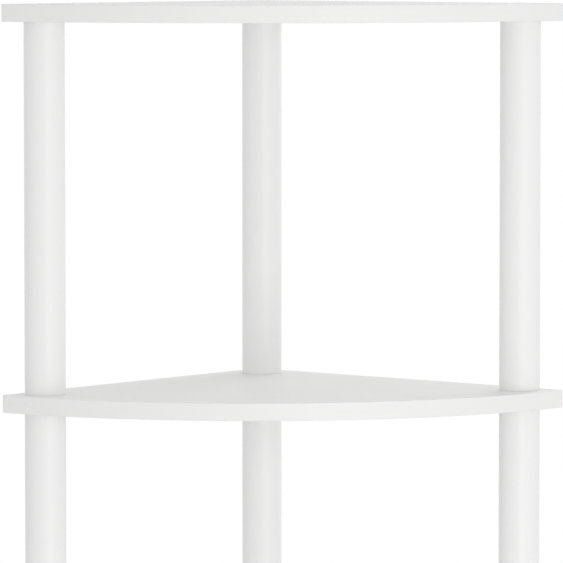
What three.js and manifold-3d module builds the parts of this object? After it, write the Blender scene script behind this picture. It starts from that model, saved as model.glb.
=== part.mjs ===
// Corner shelf unit: quarter-round boards on three posts of screwed tubes.
// Every tube has a threaded socket pressed into its top, and a leg has one in its bottom as well. A tube that
// stands on a board has a stud pressed into its bottom: it passes down through the board and turns into the
// socket below, so the tubes clamp the board. Flush cap bolts hold the top board, and threaded feet close the
// legs.
// Units are millimetres, +Z is up, and the curved front faces -Y. The origin is on the floor, under the middle
// of the plan's bounding box.
import * as THREE from "three";
import { mergeVertices } from "three/addons/utils/BufferGeometryUtils.js";
import Module from "manifold-3d";

const wasm = await Module();
wasm.setup();

// Boards
const boardCount = 5;
const boardThickness = 15;
const boardSide = 342; // straight edge along a wall, from the corner to a tip
const frontBulge = 98.4; // how far the curved front stands out past the line between the tips
const cornerRadius = 8; // back corner, rounded to clear the plaster
const tipRadius = 3;

// Clear heights
const tierOpening = 317; // from one board to the next
const legOpening = 80; // from the feet to the lowest board

// Posts, measured to their axes
const sidePostSetback = 30.7; // from a tip, back along the wall
const sidePostInset = 22.8; // out from the wall
const backPostInset = 33.1; // out from both walls

// Tubes and the plugs in their ends
const tubeDiameter = 35;
const tubeWall = 1.6;
const socketFloor = 5.5; // below the blind bore
const pocketWall = 3; // round the pocket in a stud's plug
const pocketFloor = 5;

// Screw thread shared by studs, sockets, cap bolts and feet
const threadRadius = 9; // over its crests
const threadDepth = 1.4;
const threadPitch = 5;
const threadLength = 8.5;
const threadRunout = 1; // of a socket's bore past the end of the thread in it
const crestShare = 0.26; // of the pitch
const flankShare = 0.22; // of the pitch, for each flank
const shankRelief = 0.2; // of a plain shank over the thread's crests

// Cap bolts
const capReach = 5.2; // of the head past the edge of its bore
const capThickness = 3;
const capChamfer = 0.6;
const slotLength = 18;
const slotWidth = 2.4;
const slotDepth = 1.4;

// Feet
const footHeight = 8;
const footTaper = 1.5; // of the radius, from the tube's outside to the base
const footTaperHeight = 2.5;

// Clearances
const seatGap = 0.3; // between faces that bear on each other
const plugGap = 0.3; // round a plug in its tube
const threadGap = 0.3; // between a thread and its socket
const boreGap = 0.6; // round a shank in its board
const capGap = 0.4; // round a head in its recess

// Solids that are joined or cut
const joinDepth = 1; // how far they run into each other
const ridgeSink = 0.2; // how far a thread's ridge runs into its core
const cutOverrun = 1; // how far a cutter passes the face that it opens
const mergeDistance = 1e-4;

// Facets
const frontSteps = 28;
const cornerSteps = 4;
const tipSteps = 3;
const tubeSides = 24;
const plugSides = 12; // its corners bear on every second corner of the bore
const shankSides = 12;
const threadSteps = 8; // a turn

const halfTurn = Math.PI;
const quarterTurn = halfTurn / 2;
const eighthTurn = quarterTurn / 2;

const tubeRadius = tubeDiameter / 2;
const tubeBore = tubeRadius - tubeWall;
const plugRadius = tubeBore - plugGap;
const threadEnd = -seatGap - threadLength;
const plugHeight = threadLength + threadRunout + socketFloor;
const shankRadius = threadRadius + shankRelief;
const boreRadius = shankRadius + boreGap;
const capRadius = boreRadius + capReach;

// Plan, with the meeting point of the two walls at 0, 0
const tipDistance = boardSide * Math.SQRT1_2; // of a tip from the mid plane, and from the corner along Y
const frontRadius = (tipDistance ** 2 + frontBulge ** 2) / (2 * frontBulge);
const frontY = -tipDistance - frontBulge;
const frontCentreY = frontY + frontRadius;
const backY = -cornerRadius * (Math.SQRT2 - 1);
const planMiddleY = (frontY + backY) / 2;
const sidePostReach = boardSide - sidePostSetback;
const sidePostX = (sidePostReach - sidePostInset) * Math.SQRT1_2;
const sidePostY = -(sidePostReach + sidePostInset) * Math.SQRT1_2;
const posts = {
  back: new THREE.Vector2(0, -backPostInset * Math.SQRT2),
  left: new THREE.Vector2(-sidePostX, sidePostY),
  right: new THREE.Vector2(sidePostX, sidePostY),
};

const finishes = {
  board: new THREE.MeshStandardMaterial({ color: 0xececec, roughness: 0.45, metalness: 0 }),
  tube: new THREE.MeshStandardMaterial({ color: 0xeeeeee, roughness: 0.35, metalness: 0 }),
  fitting: new THREE.MeshStandardMaterial({ color: 0xe8e8e8, roughness: 0.5, metalness: 0 }),
};

// A closed geometry as a solid that can be cut and joined
function solidOf(geometry) {
  const bare = new THREE.BufferGeometry();
  bare.setAttribute("position", geometry.getAttribute("position"));
  bare.setIndex(geometry.index);
  const merged = mergeVertices(bare, mergeDistance);
  return new wasm.Manifold(
    new wasm.Mesh({
      numProp: 3,
      vertProperties: merged.getAttribute("position").array,
      triVerts: new Uint32Array(merged.index.array),
    }),
  );
}

// A solid as a geometry with flat-shaded facets
function geometryOf(solid) {
  const mesh = solid.getMesh();
  const geometry = new THREE.BufferGeometry();
  geometry.setAttribute("position", new THREE.BufferAttribute(mesh.vertProperties, 3));
  geometry.setIndex(new THREE.BufferAttribute(mesh.triVerts, 1));
  const facets = geometry.toNonIndexed();
  facets.computeVertexNormals();
  return facets;
}

// Turns an outline of [radius, height] points about the Z axis
function turned(outline, sides) {
  const points = outline.map(([radius, height]) => new THREE.Vector2(radius, height));
  return new THREE.LatheGeometry(points, sides).rotateX(quarterTurn);
}

function rod(radius, low, high, sides) {
  return turned([[0, low], [radius, low], [radius, high], [0, high]], sides);
}

function arc(centre, radius, from, to, steps) {
  return Array.from({ length: steps + 1 }, (_, i) => {
    const angle = from + ((to - from) * i) / steps;
    return new THREE.Vector2(Math.cos(angle), Math.sin(angle)).multiplyScalar(radius).add(centre);
  });
}

// Outline of a board: straight wall edges, the curved front, a rounded corner and eased tips
function boardShape() {
  const alongWall = new THREE.Vector2(Math.SQRT1_2, -Math.SQRT1_2);
  const offWall = new THREE.Vector2(-Math.SQRT1_2, -Math.SQRT1_2);
  const frontCentre = new THREE.Vector2(0, frontCentreY);
  const cornerCentre = new THREE.Vector2(0, -cornerRadius * Math.SQRT2);
  // A tip's arc touches the wall edge and, from inside, the front
  const start = offWall.clone().multiplyScalar(tipRadius).sub(frontCentre);
  const ahead = start.dot(alongWall);
  const reach = Math.sqrt(ahead ** 2 - start.lengthSq() + (frontRadius - tipRadius) ** 2) - ahead;
  const tipCentre = alongWall.clone().multiplyScalar(reach).addScaledVector(offWall, tipRadius);
  const frontAngle = tipCentre.clone().sub(frontCentre).angle() - 2 * halfTurn;
  const mirroredTip = new THREE.Vector2(-tipCentre.x, tipCentre.y);
  const mirroredAngle = -halfTurn - frontAngle;
  return new THREE.Shape([
    ...arc(cornerCentre, cornerRadius, eighthTurn, halfTurn - eighthTurn, cornerSteps),
    ...arc(mirroredTip, tipRadius, halfTurn - eighthTurn, halfTurn * 2 + mirroredAngle, tipSteps),
    ...arc(frontCentre, frontRadius, mirroredAngle, frontAngle, frontSteps).slice(1, -1),
    ...arc(tipCentre, tipRadius, frontAngle, eighthTurn, tipSteps),
  ]);
}

// A board from zero height up, bored for the three posts. The top board has a recess for each cap as well.
function boardGeometry(isTop) {
  const slab = new THREE.ExtrudeGeometry(boardShape(), { depth: boardThickness, bevelEnabled: false });
  let solid = solidOf(slab);
  const openTop = boardThickness + cutOverrun;
  const recessFloor = boardThickness - capThickness - seatGap;
  for (const post of Object.values(posts)) {
    const bore = rod(boreRadius, -cutOverrun, openTop, shankSides);
    solid = solid.subtract(solidOf(bore.translate(post.x, post.y, 0)));
    if (isTop) {
      const recess = rod(capRadius + capGap, recessFloor, openTop, tubeSides);
      solid = solid.subtract(solidOf(recess.translate(post.x, post.y, 0)));
    }
  }
  return geometryOf(solid);
}

function tubeGeometry(length) {
  const wall = [[tubeBore, 0], [tubeRadius, 0], [tubeRadius, length], [tubeBore, length], [tubeBore, 0]];
  return turned(wall, tubeSides);
}

// A right-hand helix about Z, counted in steps from zero height. Its frames hold a section's first axis
// upright and its second one radial.
class Helix extends THREE.Curve {
  constructor(radius, firstStep, lastStep) {
    super();
    this.radius = radius;
    this.firstStep = firstStep;
    this.lastStep = lastStep;
  }

  getPoint(share) {
    const turn = THREE.MathUtils.lerp(this.firstStep, this.lastStep, share) / threadSteps;
    return this.outward(turn).multiplyScalar(this.radius).setZ(turn * threadPitch);
  }

  outward(turn) {
    const angle = 2 * halfTurn * turn;
    return new THREE.Vector3(Math.cos(angle), Math.sin(angle), 0);
  }

  computeFrenetFrames(count) {
    const turns = Array.from(
      { length: count + 1 },
      (_, i) => THREE.MathUtils.lerp(this.firstStep, this.lastStep, i / count) / threadSteps,
    );
    return {
      normals: turns.map(() => new THREE.Vector3(0, 0, 1)),
      binormals: turns.map((turn) => this.outward(turn)),
    };
  }
}

// Thread from low to high about a solid core. Growth widens it all round, for the cutter of a socket.
function threadSolid(low, high, growth) {
  const coreRadius = threadRadius - threadDepth + growth;
  const halfCrest = (threadPitch * crestShare) / 2 + growth;
  const flankSlope = (threadPitch * flankShare) / threadDepth;
  const halfBase = halfCrest + (threadDepth + ridgeSink) * flankSlope;
  const ridge = new THREE.Shape([
    new THREE.Vector2(-halfBase, -ridgeSink),
    new THREE.Vector2(halfBase, -ridgeSink),
    new THREE.Vector2(halfCrest, threadDepth),
    new THREE.Vector2(-halfCrest, threadDepth),
  ]);
  const stepRise = threadPitch / threadSteps;
  const firstStep = Math.floor((low - threadPitch) / stepRise);
  const lastStep = Math.ceil((high + threadPitch) / stepRise);
  const extrudePath = new Helix(coreRadius, firstStep, lastStep);
  const steps = lastStep - firstStep;
  const helix = solidOf(new THREE.ExtrudeGeometry(ridge, { steps, extrudePath, bevelEnabled: false }));
  const core = solidOf(rod(coreRadius, low - threadPitch, high + threadPitch, threadSteps));
  const slab = solidOf(rod(tubeRadius, low, high, tubeSides));
  return core.add(helix).intersect(slab);
}

// Socket pressed into the top of a tube, with its mouth at zero height less the seat gap
function socketGeometry() {
  const plug = solidOf(rod(plugRadius, -seatGap - plugHeight, -seatGap, plugSides));
  return geometryOf(plug.subtract(threadSolid(threadEnd - threadRunout, cutOverrun, threadGap)));
}

// Screw that hangs down from the underside of a board at zero height, with a plain shank above its thread
function screwSolid(shankTop) {
  return threadSolid(threadEnd, joinDepth, 0).add(solidOf(rod(shankRadius, 0, shankTop, shankSides)));
}

// Stud of the tube that stands on a board
function studGeometry() {
  const seat = boardThickness + seatGap;
  const plug = solidOf(rod(plugRadius, seat, seat + plugHeight, plugSides));
  const openTop = seat + plugHeight + cutOverrun;
  const pocket = rod(plugRadius - pocketWall, seat + pocketFloor, openTop, plugSides);
  return geometryOf(screwSolid(seat + joinDepth).add(plug).subtract(solidOf(pocket)));
}

// Cap bolt of the top board, with a coin slot
function capGeometry() {
  const underside = boardThickness - capThickness;
  const head = turned(
    [
      [0, underside],
      [capRadius, underside],
      [capRadius, boardThickness - capChamfer],
      [capRadius - capChamfer, boardThickness],
      [0, boardThickness],
    ],
    tubeSides,
  );
  const slotHeight = slotDepth + cutOverrun;
  const slot = new THREE.BoxGeometry(slotLength, slotWidth, slotHeight);
  slot.translate(0, 0, boardThickness - slotDepth + slotHeight / 2);
  return geometryOf(screwSolid(underside + joinDepth).add(solidOf(head)).subtract(solidOf(slot)));
}

// Foot, made upside down: its thread hangs below zero height and its base is on top
function footGeometry() {
  const base = turned(
    [
      [0, 0],
      [tubeRadius, 0],
      [tubeRadius, footHeight - footTaperHeight],
      [tubeRadius - footTaper, footHeight],
      [0, footHeight],
    ],
    tubeSides,
  );
  return geometryOf(threadSolid(threadEnd, joinDepth, 0).add(solidOf(base)));
}

function piece(name, geometry, finish, z, turn = 0) {
  const mesh = new THREE.Mesh(geometry, finish);
  mesh.name = name;
  mesh.position.z = z;
  mesh.rotation.x = turn;
  return mesh;
}

// Heights of the boards' undersides, from the bottom up
const undersides = Array.from(
  { length: boardCount },
  (_, i) => footHeight + legOpening + i * (boardThickness + tierOpening),
);

function boardPieces() {
  const plain = boardGeometry(false);
  const top = boardGeometry(true);
  return undersides.map((z, i) => {
    const number = i + 1;
    return piece(`board_${number}`, number < boardCount ? plain : top, finishes.board, z);
  });
}

const socket = socketGeometry();
const stud = studGeometry();
const cap = capGeometry();
const foot = footGeometry();
const leg = tubeGeometry(legOpening - 2 * seatGap);
const tube = tubeGeometry(tierOpening - 2 * seatGap);

// One post: a foot, a leg, then a tube on each board but the last, which the cap bolt holds
function post(side) {
  const group = new THREE.Group();
  group.position.set(posts[side].x, posts[side].y, 0);
  group.add(
    piece(`foot_${side}`, foot, finishes.fitting, footHeight, halfTurn),
    piece(`foot_socket_${side}`, socket, finishes.fitting, footHeight, halfTurn),
    piece(`leg_${side}`, leg, finishes.tube, footHeight + seatGap),
  );
  undersides.forEach((z, i) => {
    const number = i + 1;
    group.add(piece(`socket_${side}_${number}`, socket, finishes.fitting, z));
    if (number < boardCount) {
      const seat = z + boardThickness + seatGap;
      group.add(piece(`stud_${side}_${number}`, stud, finishes.fitting, z));
      group.add(piece(`tube_${side}_${number}`, tube, finishes.tube, seat));
    } else {
      group.add(piece(`cap_${side}`, cap, finishes.fitting, z));
    }
  });
  return group;
}

const unit = new THREE.Group();
unit.position.y = -planMiddleY;
unit.add(...boardPieces(), ...Object.keys(posts).map(post));

export default unit;
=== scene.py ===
import math

import bmesh
import bpy
from mathutils import Matrix, Vector


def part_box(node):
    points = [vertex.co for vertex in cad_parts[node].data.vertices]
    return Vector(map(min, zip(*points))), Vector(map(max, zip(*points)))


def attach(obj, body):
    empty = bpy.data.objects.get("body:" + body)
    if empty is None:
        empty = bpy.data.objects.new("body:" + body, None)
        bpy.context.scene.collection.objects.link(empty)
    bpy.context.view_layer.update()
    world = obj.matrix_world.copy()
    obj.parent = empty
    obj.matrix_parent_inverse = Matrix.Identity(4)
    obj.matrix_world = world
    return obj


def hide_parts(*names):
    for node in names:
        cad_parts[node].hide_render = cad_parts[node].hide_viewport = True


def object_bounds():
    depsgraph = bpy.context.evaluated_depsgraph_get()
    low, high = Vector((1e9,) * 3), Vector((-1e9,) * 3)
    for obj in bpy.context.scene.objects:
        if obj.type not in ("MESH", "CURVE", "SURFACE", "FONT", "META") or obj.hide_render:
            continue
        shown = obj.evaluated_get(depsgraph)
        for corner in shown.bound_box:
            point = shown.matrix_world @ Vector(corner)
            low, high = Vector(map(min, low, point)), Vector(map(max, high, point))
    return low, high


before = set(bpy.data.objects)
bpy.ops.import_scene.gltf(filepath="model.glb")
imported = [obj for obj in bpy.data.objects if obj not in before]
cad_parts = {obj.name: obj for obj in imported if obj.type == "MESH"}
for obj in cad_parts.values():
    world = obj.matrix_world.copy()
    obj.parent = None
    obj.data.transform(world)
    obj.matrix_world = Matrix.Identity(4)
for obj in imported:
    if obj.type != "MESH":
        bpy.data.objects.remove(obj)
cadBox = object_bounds()

mm = 0.001
up = Vector((0, 0, 1))
sides = ("back", "left", "right")
boardCount = 5
weldDistance = 0.01 * mm
sharpAngle = math.radians(60)  # an edge that turns further is rounded off
creaseAngle = math.radians(40)  # and one that turns further than this is shaded as a crease


def middleOf(node):
    low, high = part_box(node)
    return (low + high) / 2


# Post axes and board heights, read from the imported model
posts = {side: middleOf(f"leg_{side}").xy for side in sides}
decks = {number: [corner.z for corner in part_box(f"board_{number}")] for number in range(1, boardCount + 1)}
floorToBoard = decks[1][0]
boardThickness = decks[1][1] - floorToBoard
tierPitch = decks[2][0] - floorToBoard


# Material nodes

white = (1, 1, 1, 1)
noiseSpan = (0.3, 0.7)  # nearly all of a noise lies in here
patchSpan = (0.42, 0.72)  # and what lies over the first of these shows as patches
noiseRoughness = 0.6


def addNode(tree, kind, inputs=(), **settings):
    node = tree.nodes.new(kind)
    for name, value in settings.items():
        setattr(node, name, value)
    for socket, value in dict(inputs).items():
        if isinstance(value, bpy.types.NodeSocket):
            tree.links.new(value, node.inputs[socket])
        else:
            node.inputs[socket].default_value = value
    return node


def reckon(tree, operation, *values):
    return addNode(tree, "ShaderNodeMath", enumerate(values), operation=operation).outputs[0]


def remap(tree, value, source, target, smooth=False):
    # from one low and high to another
    kind = "SMOOTHSTEP" if smooth else "LINEAR"
    inputs = enumerate((value, *source, *target))
    return addNode(tree, "ShaderNodeMapRange", inputs, interpolation_type=kind).outputs[0]


def grain(tree, place, perMetre, detail):
    # noise with so many grains to a metre along each axis
    scaled = addNode(tree, "ShaderNodeMapping", {"Vector": place, "Scale": perMetre}).outputs[0]
    inputs = {"Vector": scaled, "Scale": 1.0, "Detail": detail, "Roughness": noiseRoughness}
    return addNode(tree, "ShaderNodeTexNoise", inputs).outputs["Fac"]


def blendColour(tree, share, first, second):
    inputs = {0: share, 6: first, 7: second}
    return addNode(tree, "ShaderNodeMix", inputs, data_type="RGBA").outputs[2]


def addBump(tree, height, depth, below):
    inputs = {"Height": height, "Strength": 1.0, "Distance": depth}
    if below:
        inputs["Normal"] = below
    return addNode(tree, "ShaderNodeBump", inputs).outputs[0]


def heightAt(tree, place):
    return addNode(tree, "ShaderNodeSeparateXYZ", {0: place}).outputs[2]


def heightInTier(tree, place):
    # over the underside of the board below, the same for every tier
    overFirst = reckon(tree, "SUBTRACT", heightAt(tree, place), floorToBoard)
    return reckon(tree, "FLOORED_MODULO", overFirst, tierPitch)


def levelReach(tree, place, centreY=0.0):
    # level distance from the upright line over the middle plane at this y
    inputs = {"Vector": place, "Location": (0, -centreY, 0), "Scale": (1, 1, 0)}
    level = addNode(tree, "ShaderNodeMapping", inputs).outputs[0]
    return addNode(tree, "ShaderNodeVectorMath", {0: level}, operation="LENGTH").outputs["Value"]


def layPatterns(tree, place, look):
    # each pattern moves the tone, the roughness or the height
    tone, roughness, normal = 0.0, look["roughness"], None
    for pattern in look["patterns"].values():
        noise = grain(tree, place, pattern["perMetre"], pattern["detail"])
        span = pattern.get("span", noiseSpan)
        if "tone" in pattern:
            tone = reckon(tree, "ADD", tone, remap(tree, noise, span, pattern["tone"]))
        if "roughness" in pattern:
            roughness = reckon(tree, "ADD", roughness, remap(tree, noise, span, pattern["roughness"]))
        if "depth" in pattern:
            normal = addBump(tree, noise, pattern["depth"], normal)
    return tone, roughness, normal


def makeFinish(name, look, findWear):
    # the patterns, and over them all the wear
    material = bpy.data.materials.new(name)
    material.use_nodes = True
    tree = material.node_tree
    shader = tree.nodes["Principled BSDF"]
    shader.inputs["IOR"].default_value = look["ior"]
    shader.inputs["Specular IOR Level"].default_value = look["shine"]
    place = addNode(tree, "ShaderNodeTexCoord").outputs["Object"]
    tone, roughness, normal = layPatterns(tree, place, look)
    wear = look["wear"]
    patches = remap(tree, grain(tree, place, wear["perMetre"], wear["detail"]), patchSpan, (0, 1))
    worn = reckon(tree, "MULTIPLY", findWear(tree, place, wear["width"]), patches)
    colour = blendColour(tree, tone, look["colour"], look["dull"])
    colour = blendColour(tree, reckon(tree, "MULTIPLY", worn, wear["share"]), colour, wear["colour"])
    roughness = reckon(tree, "MULTIPLY_ADD", worn, wear["roughness"], roughness)
    tree.links.new(colour, shader.inputs["Base Color"])
    tree.links.new(roughness, shader.inputs["Roughness"])
    tree.links.new(normal, shader.inputs["Normal"])
    return material


# Meshes

def vertsIn(items):
    return [item for item in items if isinstance(item, bmesh.types.BMVert)]


def edgesIn(items):
    return [item for item in items if isinstance(item, bmesh.types.BMEdge)]


def pullEdges(bm, edges, matrix):
    # a row of faces from the edges to where the matrix puts their copies
    grown = bmesh.ops.extrude_edge_only(bm, edges=edges)["geom"]
    verts = set(vertsIn(grown))
    bmesh.ops.transform(bm, matrix=matrix, verts=list(verts))
    return [edge for edge in edgesIn(grown) if verts.issuperset(edge.verts)]


def addRing(bm, radius, axis, height, segments):
    place = Matrix.Translation((*axis, height))
    verts = bmesh.ops.create_circle(bm, segments=segments, radius=radius, matrix=place)["verts"]
    return list({edge for vert in verts for edge in vert.link_edges})


def raised(distance):
    return Matrix.Translation((0, 0, distance))


def widened(axis, factor):
    centre = Matrix.Translation((*axis, 0))
    return centre @ Matrix.Diagonal((factor, factor, 1, 1)) @ centre.inverted()


def sharpEdges(bm):
    return [edge for edge in bm.edges if edge.calc_face_angle(0) > sharpAngle]


def roundOff(bm, items, radius, steps, kind="EDGES"):
    bmesh.ops.bevel(bm, geom=items, offset=radius, segments=steps, profile=0.5, affect=kind, material=-1)


def turnLine(bm, corners, axis, steps, cornerSteps):
    # a line through corners, each a radius, a height and its rounding, swung once round the axis
    verts = [bm.verts.new((axis.x + radius, axis.y, height)) for radius, height, _ in corners]
    for pair in zip(verts, verts[1:]):
        bm.edges.new(pair)
    for vert, (_, _, rounding) in zip(verts, corners):
        if rounding:
            roundOff(bm, [vert], rounding, cornerSteps, "VERTICES")
    line = bm.verts[:] + bm.edges[:]
    bmesh.ops.spin(bm, geom=line, cent=(*axis, 0), axis=up, angle=math.tau, steps=steps, use_merge=True)
    bmesh.ops.remove_doubles(bm, verts=bm.verts, dist=weldDistance)


def joinMesh(bm, other, axis):
    # brings in a mesh that was made round the origin
    bmesh.ops.translate(other, vec=(*axis, 0), verts=other.verts)
    bmesh.ops.recalc_face_normals(other, faces=other.faces)
    mesh = bpy.data.meshes.new("joined")
    other.to_mesh(mesh)
    other.free()
    bm.from_mesh(mesh)
    bpy.data.meshes.remove(mesh)


def addPiece(name, bm, material, replaced):
    bmesh.ops.remove_doubles(bm, verts=bm.verts, dist=weldDistance)
    bmesh.ops.recalc_face_normals(bm, faces=bm.faces)
    mesh = bpy.data.meshes.new(name)
    bm.to_mesh(mesh)
    bm.free()
    mesh.shade_smooth()
    mesh.set_sharp_from_angle(angle=creaseAngle)
    mesh.materials.append(material)
    piece = bpy.data.objects.new(name, mesh)
    bpy.context.scene.collection.objects.link(piece)
    piece.modifiers.new("even shading", "WEIGHTED_NORMAL").keep_sharp = True
    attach(piece, "root")
    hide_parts(replaced)


# Boards, each a core with a strip round its edge

boards = {
    "side": 342 * mm,  # straight edge along a wall, from the corner to a tip
    "bulge": 98.3 * mm,  # of the front past the line between the tips
    "frontSteps": 120,
    "corner": (8 * mm, 12),  # radius and steps
    "tip": (3.4 * mm, 6),
    "strip": 0.8 * mm,  # its thickness
    "arris": (0.5 * mm, 3),
    "seam": (0.07 * mm, 1),  # chamfer between strip and core
    "joint": 70 * mm,  # from the corner to where the ends of the strip meet
    "groove": (0.06 * mm, 2),  # depth and steps of the joint
    "bore": 9.8 * mm,
    "recess": (15.4 * mm, 3.3 * mm),  # radius and depth, round a cap of the top board
    "mouth": (0.2 * mm, 2),
    "holeSteps": 72,
}

tipDistance = boards["side"] / math.sqrt(2)
frontRadius = (tipDistance ** 2 + boards["bulge"] ** 2) / (2 * boards["bulge"])
cornerY = cadBox[1].y + boards["corner"][0] * (math.sqrt(2) - 1)
frontCentreY = cornerY - tipDistance - boards["bulge"] + frontRadius

laminateLook = {
    "colour": (0.872, 0.872, 0.868, 1),
    "dull": (0.843, 0.843, 0.837, 1),
    "roughness": 0.5,
    "ior": 1.5,
    "shine": 0.2,
    "patterns": {  # grains to a metre along each axis, and what they move
        "clouds": {"perMetre": (7, 7, 7), "detail": 3, "tone": (0, 0.45)},
        "pearl": {
            "perMetre": (620, 620, 620), "detail": 2, "tone": (0.4, 0), "roughness": (0.05, -0.05),
            "depth": 0.02 * mm,
        },
        "flecks": {"perMetre": (1500, 1500, 1500), "detail": 1, "tone": (0, 0.15)},
        "wipes": {"perMetre": (18, 160, 18), "detail": 3, "roughness": (-0.06, 0.07)},
        "waves": {"perMetre": (40, 40, 40), "detail": 1, "depth": 0.05 * mm},
    },
    "wear": {
        "colour": (0.77, 0.768, 0.755, 1), "share": 0.5, "roughness": -0.08, "width": 5 * mm,
        "perMetre": (90, 90, 90), "detail": 4,
    },
}

stripLook = {
    "colour": (0.887, 0.887, 0.884, 1),
    "dull": (0.865, 0.865, 0.86, 1),
    "roughness": 0.38,
    "ior": 1.5,
    "shine": 0.32,
    "patterns": {
        "clouds": {"perMetre": (9, 9, 9), "detail": 3, "tone": (0, 0.6)},
        "waves": {"perMetre": (28, 28, 60), "detail": 1, "depth": 0.05 * mm},
        "rollerLines": {
            "perMetre": (6, 6, 2600), "detail": 2, "tone": (0, 0.4), "roughness": (-0.05, 0.07),
            "depth": 0.014 * mm,
        },
    },
    "wear": {
        "colour": (0.76, 0.758, 0.745, 1), "share": 0.55, "roughness": -0.1, "width": 1.2 * mm,
        "perMetre": (70, 70, 70), "detail": 4,
    },
}


def alongFront(tree, place, width):
    # the strip of a board's face that lies along the curved front
    reach = levelReach(tree, place, frontCentreY)
    return remap(tree, reach, (frontRadius - width, frontRadius), (0, 1), smooth=True)


def atArrises(tree, place, width):
    halfBoard = boardThickness / 2
    fromMiddle = reckon(tree, "ABSOLUTE", reckon(tree, "SUBTRACT", heightInTier(tree, place), halfBoard))
    return remap(tree, fromMiddle, (halfBoard - width, halfBoard), (0, 1), smooth=True)


def makeLaminate():
    return makeFinish("white laminate", laminateLook, alongFront)


def makeStripPlastic():
    return makeFinish("edge strip plastic", stripLook, atArrises)


def drawPlan(bm, height):
    # the right tip swung round to the left one, both joined to the corner, then all three rounded
    tip = (tipDistance, cornerY - tipDistance, height)
    centre = (0, frontCentreY, height)
    swing = -2 * math.asin(tipDistance / frontRadius)
    right = bmesh.ops.create_vert(bm, co=tip)["vert"][0]
    front = bmesh.ops.spin(bm, geom=[right], cent=centre, axis=up, angle=swing, steps=boards["frontSteps"])
    left = front["geom_last"][0]
    corner = bmesh.ops.create_vert(bm, co=(0, cornerY, height))["vert"][0]
    bm.edges.new((left, corner))
    bm.edges.new((corner, right))
    bmesh.ops.contextual_create(bm, geom=bm.edges)
    roundOff(bm, [corner], *boards["corner"], "VERTICES")
    roundOff(bm, [left, right], *boards["tip"], "VERTICES")
    return bm.faces[:][0]


def cutJoint(bm):
    # a fine groove across the strip on its left wall side, where its two ends meet
    along = Vector((-1, -1, 0)).normalized()
    middle = Vector((0, cornerY, 0)) + along * boards["joint"]
    halfSide = boards["side"] / 2
    depth, steps = boards["groove"]
    edges = [edge for edge in bm.edges if edge.verts[0].co.x < 0 and edge.calc_length() > halfSide]
    faces = {face for edge in edges for face in edge.link_faces}
    verts = {vert for edge in edges for vert in edge.verts}
    cut = bmesh.ops.bisect_plane(bm, geom=[*verts, *edges, *faces], plane_co=middle, plane_no=along)
    roundOff(bm, edgesIn(cut["geom_cut"]), depth, steps)
    bm.normal_update()
    for vert in bm.verts:
        if vert.co.x < 0 and abs((vert.co - middle).dot(along)) < weldDistance:
            vert.co -= vert.normal * depth


def makeStrip(low, high):
    bm = bmesh.new()
    drawPlan(bm, low)
    lifted = bmesh.ops.extrude_face_region(bm, geom=bm.faces, use_keep_orig=True)["geom"]
    bmesh.ops.translate(bm, vec=(0, 0, high - low), verts=vertsIn(lifted))
    bmesh.ops.recalc_face_normals(bm, faces=bm.faces)
    roundOff(bm, sharpEdges(bm), *boards["arris"])
    lids = sorted(bm.faces, key=lambda face: len(face.verts))[-2:]
    breadth = boards["strip"] - boards["arris"][0]
    bmesh.ops.inset_region(bm, faces=lids, thickness=breadth, use_even_offset=True)
    inner = [edge for lid in lids for edge in lid.edges]
    bmesh.ops.delete(bm, geom=lids, context="FACES_ONLY")
    bmesh.ops.bridge_loops(bm, edges=inner)
    roundOff(bm, inner, *boards["seam"])
    bmesh.ops.recalc_face_normals(bm, faces=bm.faces)
    cutJoint(bm)
    return bm


def drawRim(bm, height):
    # the plan inside the strip, as edges alone
    lid = drawPlan(bm, height)
    border = bmesh.ops.inset_region(
        bm, faces=[lid], thickness=boards["strip"], use_boundary=True, use_even_offset=True
    )["faces"]
    bmesh.ops.delete(bm, geom=border, context="FACES")
    rim = lid.edges[:]
    bmesh.ops.delete(bm, geom=[lid], context="FACES_ONLY")
    return rim


def sinkHole(bm, mouth, axis, depth, recessed):
    # down to the lower face, by the floor of the recess where there is one
    if recessed:
        recessRadius, recessDepth = boards["recess"]
        mouth = pullEdges(bm, mouth, raised(-recessDepth))
        mouth = pullEdges(bm, mouth, widened(axis, boards["bore"] / recessRadius))
        depth -= recessDepth
    return pullEdges(bm, mouth, raised(-depth))


def makeCore(low, high, recessed):
    # the upper face round its mouths, then its rim and holes drawn down to the lower face
    bm = bmesh.new()
    rim = drawRim(bm, high)
    mouthRadius = boards["recess"][0] if recessed else boards["bore"]
    mouths = {side: addRing(bm, mouthRadius, posts[side], high, boards["holeSteps"]) for side in sides}
    bmesh.ops.triangle_fill(bm, edges=bm.edges, use_beauty=True, normal=up)
    lower = pullEdges(bm, rim, raised(low - high))
    for side, mouth in mouths.items():
        lower += sinkHole(bm, mouth, posts[side], high - low, recessed)
    bmesh.ops.triangle_fill(bm, edges=lower, use_beauty=True, normal=-up)
    if recessed:
        roundOff(bm, [edge for mouth in mouths.values() for edge in mouth], *boards["mouth"])
    return bm


laminate = makeLaminate()
stripPlastic = makeStripPlastic()
for number, (low, high) in decks.items():
    core = makeCore(low, high, number == boardCount)
    addPiece(f"shelf_{number}", core, laminate, f"board_{number}")
    addPiece(f"shelf_band_{number}", makeStrip(low, high), stripPlastic, f"board_{number}")
print("boards:", boardCount)


# Tubes

tubes = {
    "radius": 17.5 * mm,
    "wall": 1.6 * mm,
    "arris": (0.15 * mm, 3),
    "seat": 0.02 * mm,  # left between a tube's end and what it stands on
    "steps": 96,
}

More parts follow.
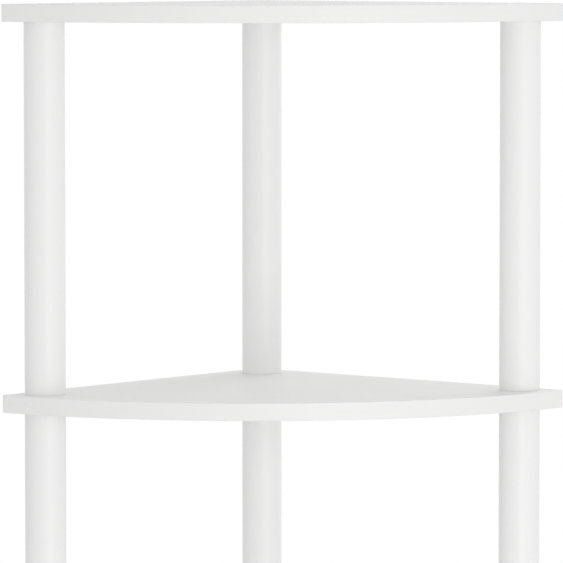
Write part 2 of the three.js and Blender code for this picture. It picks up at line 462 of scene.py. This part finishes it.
tubeLook = {
    "colour": (0.905, 0.905, 0.903, 1),
    "dull": (0.883, 0.883, 0.879, 1),
    "roughness": 0.33,
    "ior": 1.5,
    "shine": 0.3,
    "patterns": {
        "clouds": {"perMetre": (12, 12, 3), "detail": 3, "tone": (0, 0.6), "roughness": (-0.03, 0.05)},
        "waves": {"perMetre": (45, 45, 9), "detail": 1, "depth": 0.08 * mm},
        "dieLines": {
            "perMetre": (1100, 1100, 1.5), "detail": 2, "tone": (0, 0.4), "roughness": (-0.05, 0.07),
            "depth": 0.014 * mm,
        },
        "scuffs": {"perMetre": (60, 60, 110), "detail": 5, "span": (0.62, 0.72), "roughness": (0, 0.12)},
    },
    "wear": {
        "colour": (0.80, 0.798, 0.785, 1), "share": 0.4, "roughness": 0.12, "width": 2.5 * mm,
        "perMetre": (80, 80, 80), "detail": 4,
    },
}


def atTubeEnds(tree, place, width):
    height = heightInTier(tree, place)
    fromBoard = reckon(tree, "SUBTRACT", height, boardThickness)
    toBoard = reckon(tree, "SUBTRACT", tierPitch, height)
    return remap(tree, reckon(tree, "MINIMUM", fromBoard, toBoard), (0, width), (1, 0), smooth=True)


def makeTubePlastic():
    return makeFinish("extruded tube plastic", tubeLook, atTubeEnds)


def makeTube(axis, low, high):
    # up the outside, in over the end, down the bore and out to where it began
    bm = bmesh.new()
    low += tubes["seat"]
    high -= tubes["seat"]
    edges = addRing(bm, tubes["radius"], axis, low, tubes["steps"])
    narrowing = 1 - tubes["wall"] / tubes["radius"]
    height = high - low
    for move in (raised(height), widened(axis, narrowing), raised(-height), widened(axis, 1 / narrowing)):
        edges = pullEdges(bm, edges, move)
    bmesh.ops.remove_doubles(bm, verts=bm.verts, dist=weldDistance)
    bmesh.ops.recalc_face_normals(bm, faces=bm.faces)
    roundOff(bm, sharpEdges(bm), *tubes["arris"])
    return bm


# Fittings

feet = {
    "height": 8 * mm,
    "arris": 0.35 * mm,
    "flank": 3.8 * mm,  # height at which the side is as wide as the tube
    "sole": (12 * mm, 15.9 * mm),  # inner and outer radius of the ring it stands on
    "soleRounding": (0.5 * mm, 1.2 * mm),
    "hollow": (11 * mm, 1.4 * mm),  # radius and depth
    "gate": (1.3 * mm, 0.6 * mm, 0.2 * mm),  # nub in the middle of the hollow: radius, drop and rounding
}

caps = {
    "head": (15 * mm, 3 * mm),  # radius and thickness
    "arris": 0.5 * mm,
    "lip": 13.9 * mm,  # where the rim falls to the dished face
    "dish": (13.2 * mm, 0.25 * mm),
    "underArris": 0.2 * mm,
    "shank": 9.2 * mm,
    "shankArris": 0.5 * mm,
    "slot": (18 * mm, 2.4 * mm, 1.4 * mm),  # length, width and depth
    "slotArris": (0.15 * mm, 2),
    "slotSteps": 24,
}

screw = {
    "root": 7.6 * mm,
    "crest": 9 * mm,
    "pitch": 5 * mm,
    "flankShare": 0.22,  # of the pitch
    "crestShare": 0.26,
    "length": 8.8 * mm,  # out of a foot or a cap
    "overlap": 0.5 * mm,  # and into it
    "leadIn": 1.5,  # turns wound under the lower cut
    "spare": 2,  # turns wound past the thread's length
    "steps": 48,  # to a turn
}

turned = {"steps": 96, "cornerSteps": 4}

fittingLook = {
    "colour": (0.842, 0.842, 0.838, 1),
    "dull": (0.815, 0.815, 0.808, 1),
    "roughness": 0.5,
    "ior": 1.5,
    "shine": 0.3,
    "patterns": {
        "flow": {
            "perMetre": (60, 60, 25), "detail": 3, "tone": (0, 1), "roughness": (-0.04, 0.04),
            "depth": 0.03 * mm,
        },
        "spark": {
            "perMetre": (2600, 2600, 2600), "detail": 2, "roughness": (-0.05, 0.06),
            "depth": 0.03 * mm,
        },
    },
    "wear": {
        "colour": (0.72, 0.715, 0.70, 1), "share": 0.6, "roughness": 0.15, "width": 1.5 * mm,
        "perMetre": (120, 120, 120), "detail": 4,
    },
}


def atSole(tree, place, width):
    return remap(tree, heightAt(tree, place), (0, width), (1, 0), smooth=True)


def makeFittingPlastic():
    return makeFinish("moulded fitting plastic", fittingLook, atSole)


def windThread(bm, start, turns):
    # one pitch of the profile, wound up the origin's axis
    pitch, root, crest = screw["pitch"], screw["root"], screw["crest"]
    rise = screw["flankShare"] * pitch
    flat = screw["crestShare"] * pitch
    line = ((root, 0), (crest, rise), (crest, rise + flat), (root, 2 * rise + flat), (root, pitch))
    verts = [bm.verts.new((radius, 0, start + height)) for radius, height in line]
    edges = [bm.edges.new(pair) for pair in zip(verts, verts[1:])]
    bmesh.ops.spin(
        bm, geom=verts + edges, cent=(0, 0, 0), axis=up, dvec=(0, 0, pitch / screw["steps"]),
        angle=math.tau * turns, steps=screw["steps"] * turns,
    )
    bmesh.ops.remove_doubles(bm, verts=bm.verts, dist=weldDistance)


def makeThread(low, high):
    # wound past both ends, then cut level and closed
    bm = bmesh.new()
    pitch = screw["pitch"]
    turns = math.ceil((high - low) / pitch) + screw["spare"]
    windThread(bm, low - screw["leadIn"] * pitch, turns)
    for height, facing in ((low, -up), (high, up)):
        cut = bmesh.ops.bisect_plane(
            bm, geom=bm.verts[:] + bm.edges[:] + bm.faces[:], plane_co=(0, 0, height), plane_no=facing,
            clear_outer=True,
        )
        bmesh.ops.contextual_create(bm, geom=edgesIn(cut["geom_cut"]))
    return bm


def makeFoot(axis):
    bm = bmesh.new()
    radius, top = tubes["radius"], feet["height"]
    hollowRadius, hollow = feet["hollow"]
    gateRadius, gateDrop, gateRounding = feet["gate"]
    soleInner, soleOuter = feet["sole"]
    innerRounding, outerRounding = feet["soleRounding"]
    corners = (
        (0, hollow - gateDrop, 0),
        (gateRadius, hollow - gateDrop, gateRounding),
        (gateRadius, hollow, gateRounding),
        (hollowRadius, hollow, innerRounding),
        (soleInner, 0, innerRounding),
        (soleOuter, 0, outerRounding),
        (radius, feet["flank"], outerRounding),
        (radius, top, feet["arris"]),
        (0, top, 0),
    )
    turnLine(bm, corners, axis, **turned)
    joinMesh(bm, makeThread(top - screw["overlap"], top + screw["length"]), axis)
    return bm


def cutSlot(bm, axis, face, rim):
    # a ring drawn out to an oblong, the face filled round it, and its wall and floor
    length, width, depth = caps["slot"]
    slot = addRing(bm, width / 2, axis, face, caps["slotSteps"])
    verts = {vert for edge in slot for vert in edge.verts}
    halfStep = Matrix.Rotation(math.pi / caps["slotSteps"], 3, "Z")
    bmesh.ops.rotate(bm, cent=(*axis, face), matrix=halfStep, verts=list(verts))
    for sign in (-1, 1):
        half = [vert for vert in verts if (vert.co.x - axis.x) * sign > 0]
        bmesh.ops.translate(bm, vec=(sign * (length - width) / 2, 0, 0), verts=half)
    bmesh.ops.triangle_fill(bm, edges=rim + slot, use_beauty=True, normal=up)
    floor = pullEdges(bm, slot, raised(-depth))
    bmesh.ops.contextual_create(bm, geom=floor)
    bmesh.ops.recalc_face_normals(bm, faces=bm.faces)
    roundOff(bm, slot, *caps["slotArris"])


def makeCap(axis, low, high):
    bm = bmesh.new()
    headRadius, thickness = caps["head"]
    dishRadius, dish = caps["dish"]
    under = high - thickness
    corners = (
        (dishRadius, high - dish, 0),
        (caps["lip"], high, dish),
        (headRadius, high, caps["arris"]),
        (headRadius, under, caps["underArris"]),
        (caps["shank"], under, 0),
        (caps["shank"], low, caps["shankArris"]),
        (0, low, 0),
    )
    turnLine(bm, corners, axis, **turned)
    cutSlot(bm, axis, high - dish, [edge for edge in bm.edges if edge.is_boundary])
    joinMesh(bm, makeThread(low - screw["length"], low + screw["overlap"]), axis)
    return bm


tubePlastic = makeTubePlastic()
fitting = makeFittingPlastic()
for side, axis in posts.items():
    addPiece(f"foot_disc_{side}", makeFoot(axis), fitting, f"foot_{side}")
    leg = makeTube(axis, feet["height"], floorToBoard)
    addPiece(f"leg_tube_{side}", leg, tubePlastic, f"leg_{side}")
    for number in range(1, boardCount):
        tube = makeTube(axis, decks[number][1], decks[number + 1][0])
        addPiece(f"post_tube_{side}_{number}", tube, tubePlastic, f"tube_{side}_{number}")
    addPiece(f"cap_bolt_{side}", makeCap(axis, *decks[boardCount]), fitting, f"cap_{side}")
for name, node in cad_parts.items():
    if name.startswith(("socket", "foot_socket", "stud")):
        node.data.materials.clear()
        node.data.materials.append(fitting)
print("posts:", len(posts))


# Studio

studio = {
    "ambient": 0.752,
    "floorRadius": 8.0,
    "floorSteps": 96,
    "fade": (0.35, 1.4),  # metres from the middle, over which the floor turns plain white
    "floor": (0.9, 0.9, 0.9, 1),
    "floorRoughness": 0.9,
}

lampTarget = Vector((0, 0, 1.2))
lamps = {
    # turn is from the front towards the right, and rise is over level, in degrees
    "front": {"power": 13.4, "size": 1.4, "distance": 2.5, "turn": 16, "rise": -5},
    "right rear": {"power": 11.8, "size": 1.4, "distance": 2.5, "turn": 145, "rise": 22},
}

viewpoint = {
    "place": (-0.43197, -4.28610, 1.48644),
    "tilt": 3.946,  # degrees below level
    "turn": 5.819,  # degrees to the right
    "lens": 318.19,
    "sensor": 36,
    "reach": 100,  # metres past which the camera sees nothing
}


def seenRays(tree):
    # one for what the camera, a gloss or clear plastic sees
    rays = addNode(tree, "ShaderNodeLightPath").outputs
    either = reckon(tree, "MAXIMUM", rays["Is Camera Ray"], rays["Is Glossy Ray"])
    return reckon(tree, "MAXIMUM", either, rays["Is Transmission Ray"])


def makeWorld():
    world = bpy.data.worlds.new("studio")
    world.use_nodes = True
    tree = world.node_tree
    background = tree.nodes["Background"]
    background.inputs["Color"].default_value = white
    strength = remap(tree, seenRays(tree), (0, 1), (studio["ambient"], 1))
    tree.links.new(strength, background.inputs["Strength"])
    bpy.context.scene.world = world


def makeFloorPaint():
    material = bpy.data.materials.new("pale floor")
    material.use_nodes = True
    tree = material.node_tree
    shader = tree.nodes["Principled BSDF"]
    shader.inputs["Base Color"].default_value = studio["floor"]
    shader.inputs["Roughness"].default_value = studio["floorRoughness"]
    shader.inputs["Specular IOR Level"].default_value = 0.0
    place = addNode(tree, "ShaderNodeTexCoord").outputs["Object"]
    far = remap(tree, levelReach(tree, place), studio["fade"], (0, 1), smooth=True)
    share = reckon(tree, "MULTIPLY", far, seenRays(tree))
    glow = addNode(tree, "ShaderNodeEmission", {"Color": white, "Strength": 1.0}).outputs[0]
    mixed = addNode(tree, "ShaderNodeMixShader", {0: share, 1: shader.outputs[0], 2: glow}).outputs[0]
    tree.links.new(mixed, tree.nodes["Material Output"].inputs["Surface"])
    return material


def makeFloor():
    bm = bmesh.new()
    bmesh.ops.create_circle(bm, cap_ends=True, segments=studio["floorSteps"], radius=studio["floorRadius"])
    mesh = bpy.data.meshes.new("floor")
    bm.to_mesh(mesh)
    bm.free()
    mesh.materials.append(makeFloorPaint())
    floor = bpy.data.objects.new("floor", mesh)
    bpy.context.scene.collection.objects.link(floor)


def makeLamp(name, look):
    light = bpy.data.lights.new(name, "AREA")
    light.shape = "SQUARE"
    light.size = look["size"]
    light.energy = look["power"]
    lamp = bpy.data.objects.new(name, light)
    bpy.context.scene.collection.objects.link(lamp)
    turn = math.radians(look["turn"])
    rise = math.radians(look["rise"])
    outward = Vector((math.sin(turn) * math.cos(rise), -math.cos(turn) * math.cos(rise), math.sin(rise)))
    lamp.location = lampTarget + outward * look["distance"]
    lamp.rotation_euler = outward.to_track_quat("Z", "Y").to_euler()


def makeCamera():
    data = bpy.data.cameras.new("camera")
    data.lens = viewpoint["lens"]
    data.sensor_width = viewpoint["sensor"]
    data.clip_end = viewpoint["reach"]
    camera = bpy.data.objects.new("camera", data)
    bpy.context.scene.collection.objects.link(camera)
    camera.location = viewpoint["place"]
    camera.rotation_euler = (math.radians(90 - viewpoint["tilt"]), 0, -math.radians(viewpoint["turn"]))
    bpy.context.scene.camera = camera


makeWorld()
makeFloor()
for name, look in lamps.items():
    makeLamp(name, look)
makeCamera()
bpy.context.scene.view_settings.view_transform = "Standard"
print("studio: ready")
